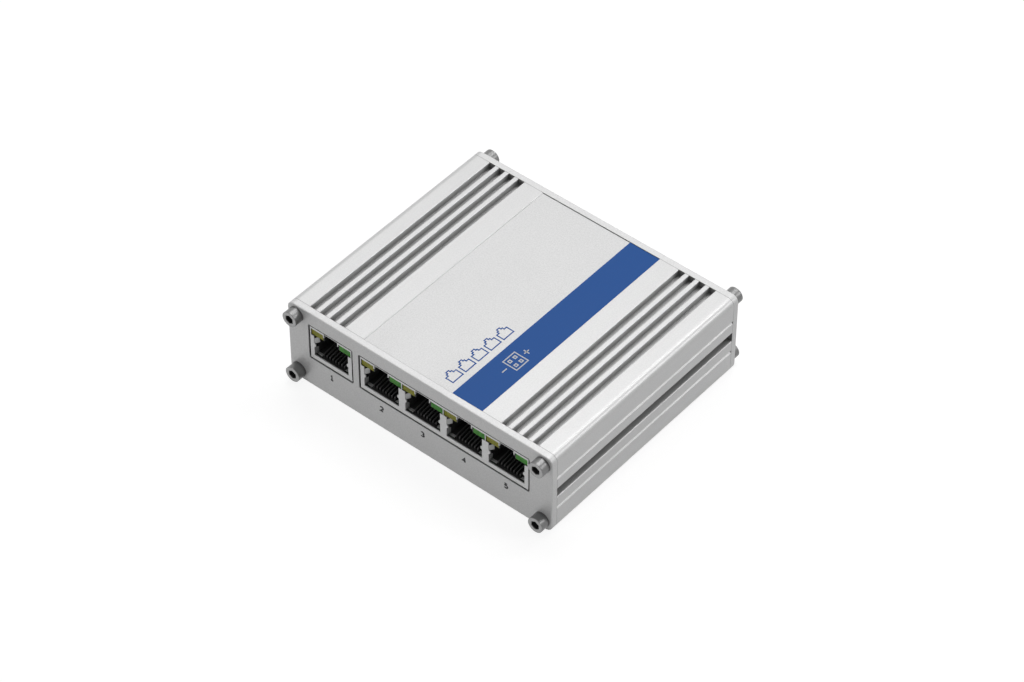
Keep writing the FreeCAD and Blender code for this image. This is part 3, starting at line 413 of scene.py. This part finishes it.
def screen_ink(name, colour):
    """Screen-printed ink: even colour with a faint mesh grain and satin sheen."""
    made, tree, surface, coords = new_material(name, Specular_IOR_Level=0.2)
    fine = effect(tree, grain, Vector=coords, Size=0.3 * MM)["Tone"]
    feed(tree, surface["Base Color"], blend(tree, fine, darkened(colour, 0.94), colour))
    feed(tree, surface["Roughness"], scaled(tree, fine, 0.4, 0.5))
    relief(tree, surface, fine, depth=0.003 * MM)
    return made


def light_pipe(name, colour):
    """Unlit tinted light pipe: cloudy plastic with a smooth face."""
    made, tree, surface, coords = new_material(
        name, Specular_IOR_Level=0.12, Subsurface_Weight=0.2, Subsurface_Scale=0.8 * MM)
    cloud = effect(tree, patches, Vector=coords, Size=1.5 * MM)["Mask"]
    feed(tree, surface["Base Color"], blend(tree, cloud, darkened(colour, 0.7), colour))
    feed(tree, surface["Roughness"], scaled(tree, cloud, 0.25, 0.4))
    return made


def circuit_board(name):
    """Solder mask over a weave: dark green, glossy, with faint copper runs below."""
    made, tree, surface, coords = new_material(name, Coat_Weight=0.3, Coat_Roughness=0.2)
    weave = add(tree, "ShaderNodeTexChecker", {"Vector": coords, "Scale": WEAVE_PER_METRE})
    runs = effect(tree, drawn_lines, Vector=coords, Stretch=(1.0, 0.08, 1.0), Size=1.2 * MM)
    copper = scaled(tree, runs["Tone"], -1.2, 2.2)
    colour = blend(tree, weave.outputs["Fac"], *WEAVE_GREENS)
    feed(tree, surface["Base Color"], blend(tree, copper, colour, COPPER_GREEN))
    feed(tree, surface["Roughness"], scaled(tree, runs["Tone"], 0.3, 0.45))
    relief(tree, surface, copper, depth=0.02 * MM)
    return made


ALONG_DEPTH = (1.0, 0.006, 1.0)
ALONG_WIDTH = (0.01, 1.0, 1.0)
moulded_black = (0.03, 0.03, 0.03, 1.0)
package_black = (0.03, 0.03, 0.032, 1.0)
printed_blue = (0.012, 0.105, 0.40, 1.0)
printed_white = (0.72, 0.74, 0.78, 1.0)
printed_black = (0.06, 0.06, 0.065, 1.0)
unlit_yellow = (0.50, 0.49, 0.045, 1.0)
unlit_green = (0.10, 0.50, 0.05, 1.0)

extrusion_metal = anodised_aluminium(
    "anodised extrusion", level=0.73, speckle=0.32 * MM, stretch=ALONG_DEPTH, line_share=0.35,
    edge_radius=0.12 * MM, rough=0.36)
plate_metal = anodised_aluminium(
    "anodised plate", level=0.74, speckle=0.30 * MM, stretch=ALONG_WIDTH, line_share=0.2,
    edge_radius=0.2 * MM, rough=0.42)
# screws get a painted dark reflection at their edges and painted shade on their sides
screw_metal = plated_steel(
    "plated screw", level=0.45, metallic=0.5, rough=0.36, edge_radius=0.35 * MM,
    edge_wear_and_light_share=0.55, painted_side_shade_share=0.5)
shield_metal = plated_steel(
    "plated shield", level=0.80, metallic=0.3, rough=0.4, edge_radius=0.1 * MM)
tinned = plated_steel(
    "tinned pin", level=0.75, metallic=0.8, rough=0.3, edge_radius=0.08 * MM)
can_metal = plated_steel(
    "aluminium can", level=0.70, metallic=0.7, rough=0.35, edge_radius=0.3 * MM)
dark_contact = plated_steel(
    "shaded contact", level=0.14, metallic=0.5, rough=0.45, edge_radius=0.05 * MM)
black_plastic = moulded_plastic(
    "black insulator", moulded_black, rough=0.5, texture=0.25 * MM)
part_plastic = moulded_plastic(
    "black package", package_black, rough=0.55, texture=0.2 * MM)
film = label_film("label film")
stripe_ink = screen_ink("blue stripe", printed_blue)
blue_ink = screen_ink("blue print", printed_blue)
white_ink = screen_ink("white print", printed_white)
digit_ink = screen_ink("dark print", printed_black)
yellow_light = light_pipe("yellow light pipe", unlit_yellow)
green_light = light_pipe("green light pipe", unlit_green)
board_mask = circuit_board("green board")

FINISHES = {
    "housing_extrusion": extrusion_metal,
    "front_plate": plate_metal,
    "rear_plate": plate_metal,
    "front_screws": screw_metal,
    "rear_screws": screw_metal,
    "label_film": film,
    "label_stripe": stripe_ink,
    "main_board": board_mask,
    "power_socket": black_plastic,
    "power_pins": tinned,
    "power_light": green_light,
    "power_light_holder": black_plastic,
    "switch_chip": part_plastic,
    "line_transformers": part_plastic,
    "memory_chip": part_plastic,
    "regulator_chip": part_plastic,
    "surge_diode": part_plastic,
    "power_inductor": part_plastic,
    "clock_crystal": can_metal,
    "input_capacitor": can_metal,
    "input_fuse": can_metal,
}
for jack in ("single_jack", "ganged_jack"):
    FINISHES[jack + "_shield"] = shield_metal
    FINISHES[jack + "_insulator"] = black_plastic
    FINISHES[jack + "_contacts"] = dark_contact
    FINISHES[jack + "_yellow_light"] = yellow_light
    FINISHES[jack + "_green_light"] = green_light

for node_name, node in nodes.items():
    for place in node.material_slots:
        place.material = FINISHES[node_name]


# ------------------------------------------------------------------ printed shapes
def arc(x, y, radius_x, radius_y, start, end, steps=14):
    """Points of an elliptic arc about x, y, between two angles in degrees."""
    angle = np.radians(np.linspace(start, end, steps))
    return np.column_stack([x + radius_x * np.cos(angle), y + radius_y * np.sin(angle)])


def line(*points):
    """Points joined by straight strokes."""
    return np.array(points, float)


def square(x, y, size):
    """Corners of a square about x, y."""
    half = size / 2
    return line((x - half, y - half), (x + half, y - half), (x + half, y + half),
                (x - half, y + half))


# the strokes of the digits 1 to 5, in a cell one unit high, from its lower left corner
DIGITS = (
    [line((0.1, 0.76), (0.32, 1.0), (0.32, 0.0)), line((0.06, 0.0), (0.58, 0.0))],
    [np.vstack([arc(0.3, 0.7, 0.3, 0.3, 165, -40), line((0.0, 0.0), (0.6, 0.0))])],
    [np.vstack([arc(0.28, 0.75, 0.27, 0.25, 150, -90),
                arc(0.28, 0.26, 0.32, 0.26, 90, -150)[1:]])],
    [line((0.45, 0.0), (0.45, 1.0), (0.0, 0.3), (0.62, 0.3))],
    [np.vstack([line((0.55, 1.0), (0.1, 1.0), (0.06, 0.56)),
                arc(0.27, 0.32, 0.33, 0.32, 130, -150)])],
)
DIGIT_CENTRE = (0.3, 0.5)

# a network socket seen from the front, about its middle and one unit wide: a box with two steps
SOCKET_OUTLINE = line(
    (-0.5, -0.42), (0.5, -0.42), (0.5, 0.2), (0.26, 0.2), (0.26, 0.36), (0.13, 0.36),
    (0.13, 0.52), (-0.13, 0.52), (-0.13, 0.36), (-0.26, 0.36), (-0.26, 0.2), (-0.5, 0.2))

# the sign of the power socket, as shares of its frame: its pins, and its minus and plus
PIN_OFFSET = 0.22
PIN_SIZE = 0.17
POLE_OFFSET = 0.95
POLE_HALF = 0.2

SHARPEST_TURN = 0.35


def ribbon(path, width, thickness, closed=False):
    """A flat band of the given width along a path, with mitred corners and a small thickness.

    Each corner of the band lies half a width from the path along the mitre: the sum of the two
    neighbouring normals, divided by one plus the cosine of the turn.
    """
    along = np.roll(path, -1, axis=0) - path
    if not closed:
        along[-1] = along[-2]
    along = along / np.linalg.norm(along, axis=1, keepdims=True)
    before = np.roll(along, 1, axis=0)
    if not closed:
        before[0] = along[0]
    normal = np.column_stack([-along[:, 1], along[:, 0]])
    normal_before = np.column_stack([-before[:, 1], before[:, 0]])
    turn = np.sum(normal * normal_before, axis=1, keepdims=True)
    mitre = (normal + normal_before) / np.maximum(1 + turn, SHARPEST_TURN)
    left = path + mitre * width / 2
    right = path - mitre * width / 2
    count = len(path)
    edge_lines = ((left, 0.0), (left, thickness), (right, thickness), (right, 0.0))
    rings = [np.column_stack([side, np.full(count, height)]) for side, height in edge_lines]
    points = np.stack(rings, axis=1).reshape(-1, 3)
    step = np.arange(count if closed else count - 1)[:, None]
    corner = np.arange(4)
    next_step, next_corner = (step + 1) % count, (corner + 1) % 4
    quads = [step * 4 + corner, next_step * 4 + corner,
             next_step * 4 + next_corner, step * 4 + next_corner]
    faces = np.stack(quads, axis=-1).reshape(-1, 4).tolist()
    if not closed:
        last = (count - 1) * 4
        faces += [[0, 1, 2, 3], [last + 3, last + 2, last + 1, last]]
    return points, faces


def axes(x_axis, y_axis, z_axis, origin):
    """The matrix that takes a thing's own axes to the given directions and place."""
    rows = [[x_axis[i], y_axis[i], z_axis[i], origin[i]] for i in range(3)]
    return Matrix(rows + [[0, 0, 0, 1]])


def on_label(x, y, z):
    """The place of a sign that lies on the label and reads from front to back."""
    return axes((0, 1, 0), (-1, 0, 0), (0, 0, 1), (x, y, z))


def add_object(name, data):
    """An object of the scene that holds the given mesh, lamp or camera."""
    made = bpy.data.objects.new(name, data)
    bpy.context.scene.collection.objects.link(made)
    return made


def printed_piece(name, strokes, width, place, finish):
    """One piece of ink made of several bands; place brings the flat drawing onto the part."""
    points, faces = [], []
    count = 0
    for path, closed in strokes:
        band_points, band_faces = ribbon(path, width, INK, closed)
        points.append(band_points)
        faces += [[corner + count for corner in face] for face in band_faces]
        count += len(band_points)
    mesh = bpy.data.meshes.new(name)
    mesh.from_pydata(np.vstack(points).tolist(), [], faces)
    mesh.transform(place)
    mesh.materials.append(finish)
    piece = add_object(name, mesh)
    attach(piece, "root")


def port_numbers():
    """The numbers 1 to 5 under the ports, printed on the front plate."""
    for number, (x, digit) in enumerate(zip(port_places, DIGITS), start=1):
        strokes = [((path - DIGIT_CENTRE) * DIGIT_HEIGHT, False) for path in digit]
        place = axes((1, 0, 0), (0, 0, 1), (0, -1, 0), (x, plate_low.y, DIGIT_MIDDLE))
        printed_piece(f"port_number_{number}", strokes, DIGIT_STROKE, place, digit_ink)


def label_sockets():
    """A row of five plain socket signs on the label, beside the stripe."""
    strokes = [(SOCKET_OUTLINE * SOCKET_SIGN, True)]
    for number in range(len(port_places)):
        y = film_low.y + SIGN_ROW_START + SOCKET_SIGN_PITCH * number
        place = on_label(stripe_low.x - SOCKET_SIGN, y, film_high.z)
        printed_piece(f"label_socket_sign_{number + 1}", strokes, SYMBOL_STROKE, place, blue_ink)


def power_sign():
    """White sign on the stripe for the power socket: four pins in a frame, minus and plus."""
    place = on_label((stripe_low.x + stripe_high.x) / 2, film_low.y + PIN_SIGN_PLACE,
                     stripe_high.z)
    squares = [square(0, 0, 1)]
    squares += [square(x, y, PIN_SIZE)
                for x in (-PIN_OFFSET, PIN_OFFSET) for y in (-PIN_OFFSET, PIN_OFFSET)]
    bars = [line((x - POLE_HALF, 0), (x + POLE_HALF, 0)) for x in (-POLE_OFFSET, POLE_OFFSET)]
    bars.append(line((POLE_OFFSET, -POLE_HALF), (POLE_OFFSET, POLE_HALF)))
    strokes = [(path * PIN_SIGN, True) for path in squares]
    strokes += [(path * PIN_SIGN, False) for path in bars]
    printed_piece("label_power_sign", strokes, SYMBOL_STROKE, place, white_ink)


def recess_slope():
    """The sloped left side of the label recess, from the roof's edge down to the film.

    A triangle carried along the depth of the label: three corners at its front end, then the
    same three at its rear end.
    """
    section_x = (film_low.x - RECESS_GAP, film_low.x + RECESS_SLOPE, film_low.x - RECESS_GAP)
    section_z = (plate_high.z, film_high.z, film_high.z)
    ends_y = np.repeat((film_low.y, film_high.y), 3)
    points = np.column_stack([np.tile(section_x, 2), ends_y, np.tile(section_z, 2)])
    faces = [(0, 2, 1), (3, 4, 5), (0, 1, 4, 3), (1, 2, 5, 4), (2, 0, 3, 5)]
    mesh = bpy.data.meshes.new("recess_slope")
    mesh.from_pydata(points.tolist(), [], faces)
    mesh.materials.append(extrusion_metal)
    piece = add_object("recess_slope", mesh)
    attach(piece, "root")


port_numbers()
label_sockets()
power_sign()
recess_slope()

# ------------------------------------------------------------------ floor, surround and lamps
FLOOR_SIZE = 6.0
FLOOR_DROP = 0.05 * MM
FLOOR_ALBEDO = 0.25
FLOOR_BOUNCE = 0.5
FLOOR_LIFT = 0.88
SKY = 0.12

# place, width and power of each lamp
LAMPS = {
    "key": ((-0.42, 0.50, 1.35), 0.70, 7.4),
    "upper rim": ((0.14, 0.78, 1.09), 0.35, 2.7),
    "rim": ((0.90, 0.73, 0.68), 0.40, 2.6),
    "front fill": ((-0.40, -1.30, 0.50), 0.90, 1.88),
}


def seen_directly(tree):
    """1 for rays from the camera, off a gloss or through glass, and 0 for those that light."""
    path = add(tree, "ShaderNodeLightPath").outputs
    seen_or_glossy = calculated(tree, "MAXIMUM", path["Is Camera Ray"], path["Is Glossy Ray"])
    return calculated(tree, "MAXIMUM", seen_or_glossy, path["Is Transmission Ray"])


def make_floor():
    """A plain pale floor that keeps the part's shadow."""
    mesh = bpy.data.meshes.new("floor")
    corners = [(x, y, -FLOOR_DROP) for x, y in square(0, 0, FLOOR_SIZE).tolist()]
    mesh.from_pydata(corners, [], [(0, 1, 2, 3)])
    made = bpy.data.materials.new("pale floor")
    made.use_nodes = True
    tree = made.node_tree
    tree.nodes.clear()
    seen = seen_directly(tree)
    colour = blend(tree, seen, grey(FLOOR_BOUNCE), grey(FLOOR_ALBEDO))
    matt = add(tree, "ShaderNodeBsdfDiffuse", {"Color": colour})
    strength = calculated(tree, "MULTIPLY", seen, FLOOR_LIFT)
    lift = add(tree, "ShaderNodeEmission", {"Color": grey(1.0), "Strength": strength})
    both = add(tree, "ShaderNodeAddShader", {0: matt.outputs[0], 1: lift.outputs[0]})
    add(tree, "ShaderNodeOutputMaterial", {"Surface": both.outputs[0]})
    mesh.materials.append(made)
    floor = add_object("floor", mesh)


def make_sky():
    """A plain white surround: full white where it is seen, softer where it lights the part."""
    world = bpy.data.worlds.new("studio")
    bpy.context.scene.world = world
    world.use_nodes = True
    tree = world.node_tree
    surround = tree.nodes["Background"].inputs
    surround["Color"].default_value = grey(1.0)
    feed(tree, surround["Strength"], scaled(tree, seen_directly(tree), SKY, 1.0))


def area_light(name, place, width, power):
    """A soft square lamp that looks at the part."""
    lamp = bpy.data.lights.new(name, "AREA")
    lamp.size = width
    lamp.energy = power
    outwards = np.array(place) / np.linalg.norm(place)
    side = np.cross((0.0, 0.0, 1.0), outwards)
    side /= np.linalg.norm(side)
    add_object(name, lamp).matrix_world = axes(side, np.cross(outwards, side), outwards, place)


make_floor()
make_sky()
for lamp_name, (lamp_place, lamp_width, lamp_power) in LAMPS.items():
    area_light(lamp_name, lamp_place, lamp_width, lamp_power)

# ------------------------------------------------------------------ camera
CAMERA_PLACE = (0.42749, -0.51334, 0.68268)
CAMERA_RIGHT = (0.76712824, 0.64149183, 0.00158255)
CAMERA_UP = (-0.45574702, 0.54326579, 0.70509356)
CAMERA_BACK = (0.45145201, -0.54161842, 0.70911252)
LENS_LENGTH = 127.19
SENSOR_WIDTH = 36.0
NEAREST = 0.05


def make_camera():
    """A long lens at the studio's viewing angle, held by its own three axes."""
    lens = bpy.data.cameras.new("camera")
    lens.sensor_width = SENSOR_WIDTH
    lens.lens = LENS_LENGTH
    lens.clip_start = NEAREST
    camera = add_object("camera", lens)
    camera.matrix_world = axes(CAMERA_RIGHT, CAMERA_UP, CAMERA_BACK, CAMERA_PLACE)
    bpy.context.scene.camera = camera


make_camera()
bpy.context.scene.view_settings.view_transform = "Standard"

# ------------------------------------------------------------------ last update of the view layer
bpy.context.view_layer.update()
